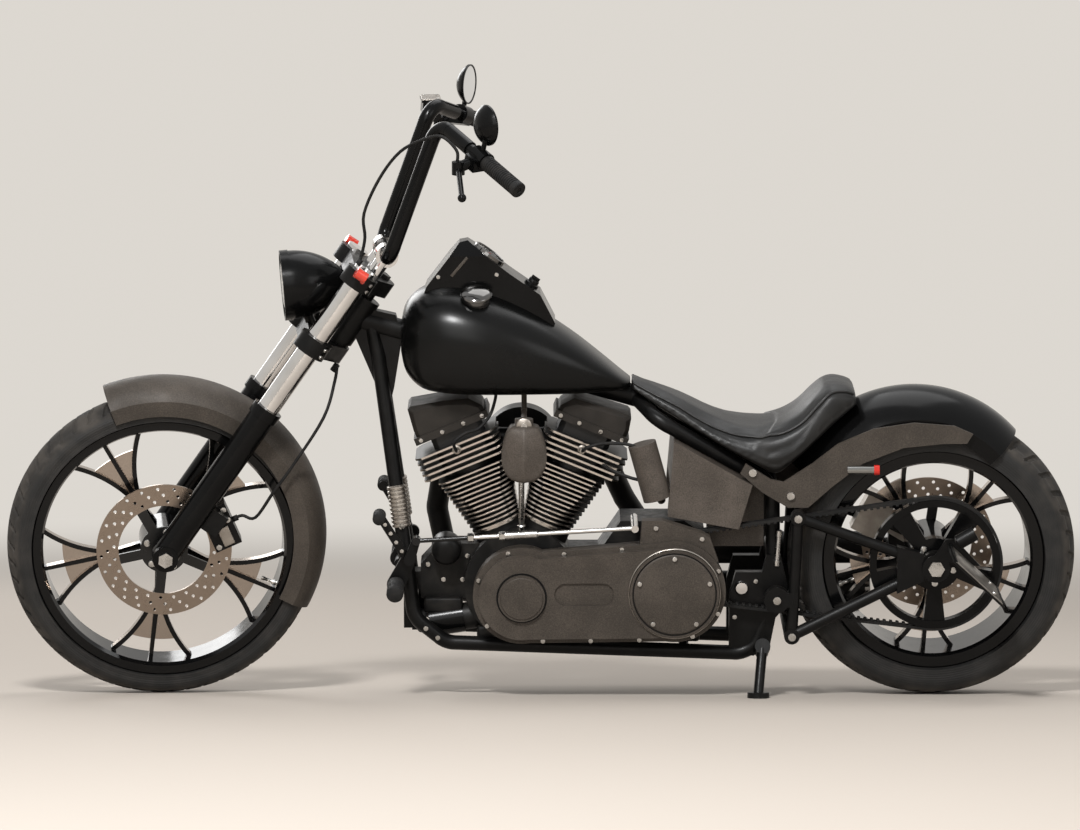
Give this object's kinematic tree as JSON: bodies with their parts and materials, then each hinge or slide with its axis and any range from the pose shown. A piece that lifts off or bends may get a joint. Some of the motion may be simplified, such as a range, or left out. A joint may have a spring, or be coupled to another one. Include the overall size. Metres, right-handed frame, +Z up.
{
  "type": "cruiser motorcycle",
  "caption": "Long low cruiser motorcycle with a V-twin engine, raked fork, high bars and solo saddle, leaning on its side stand; wheels, steering and stand move.",
  "frame": {"origin": "on the floor under the middle of the parked machine", "axes": "+X to the rear, +Y to the rider's right, +Z up"},
  "size_m": [2.3469, 0.7671, 1.3875],
  "materials": {
    "gloss_black": "gloss",
    "satin_black": "satin",
    "charcoal_alloy": "satin",
    "charcoal_steel": "satin",
    "black_alloy": "satin",
    "cast_alloy": "satin",
    "bright_steel": "satin",
    "bright_chrome": "gloss",
    "tyre_rubber": "matte",
    "soft_rubber": "matte",
    "saddle_leather": "satin",
    "lamp_glass": "gloss",
    "signal_red": "gloss"
  },
  "bodies": {
    "chassis": {"frame": "gloss_black", "swingarm": "gloss_black", "rear_axle": "bright_steel", "engine_cases": "cast_alloy", "front_cylinder": "black_alloy", "rear_cylinder": "black_alloy", "rocker_boxes": "charcoal_alloy", "cam_cover": "black_alloy", "primary_case": "charcoal_alloy", "primary_covers": "charcoal_alloy", "oil_filter": "satin_black", "regulator": "black_alloy", "horn": "charcoal_steel", "coil_can": "satin_black", "air_cleaner": "black_alloy", "exhaust_pipes": "satin_black", "fuel_tank": "gloss_black", "filler_cap": "bright_chrome", "console": "gloss_black", "seat": "saddle_leather", "oil_tank": "charcoal_alloy", "rear_fender": "gloss_black", "fender_struts": "charcoal_steel", "rear_signals": "bright_chrome", "side_plate": "black_alloy", "drive_belt": "soft_rubber", "foot_controls": "black_alloy", "shift_rod": "bright_steel", "rear_caliper": "cast_alloy"},
    "steering": {"fork_tubes": "bright_chrome", "fork_lowers": "black_alloy", "front_axle": "bright_steel", "lower_clamp": "satin_black", "upper_clamp": "satin_black", "risers": "bright_chrome", "handlebar": "gloss_black", "grips": "soft_rubber", "hand_controls": "black_alloy", "mirrors": "black_alloy", "headlamp_shell": "gloss_black", "headlamp_lens": "lamp_glass", "front_fender": "charcoal_steel", "front_caliper": "black_alloy", "cables": "soft_rubber", "front_signals": "signal_red"},
    "front_wheel": {"front_rim": "black_alloy", "front_tyre": "tyre_rubber", "front_disc": "bright_steel"},
    "rear_wheel": {"rear_rim": "black_alloy", "rear_tyre": "tyre_rubber", "rear_disc": "bright_steel", "rear_pulley": "black_alloy"},
    "stand": {"side_stand": "satin_black"}
  },
  "joints": [
    {"name": "steering_turn", "type": "hinge", "parent": "chassis", "child": "steering", "pos_m": [-0.4126, 0.02561, 0.82942], "axis": [0.572, -0.1422, 0.8078], "range_deg": [-37, 23]},
    {"name": "front_wheel_spin", "type": "hinge", "parent": "steering", "child": "front_wheel", "pos_m": [-0.8329, 0.10569, 0.33375], "axis": [-0.1003, 0.9653, 0.241], "continuous": true},
    {"name": "rear_wheel_spin", "type": "hinge", "parent": "chassis", "child": "rear_wheel", "pos_m": [0.8574, 0.11713, 0.31287], "axis": [-0.0003, 0.9848, 0.1736], "continuous": true},
    {"name": "stand_fold", "type": "hinge", "parent": "chassis", "child": "stand", "pos_m": [0.4828, 0.02372, 0.10478], "axis": [-0.0006, -0.9562, 0.2928], "range_deg": [0, 85]}
  ]
}
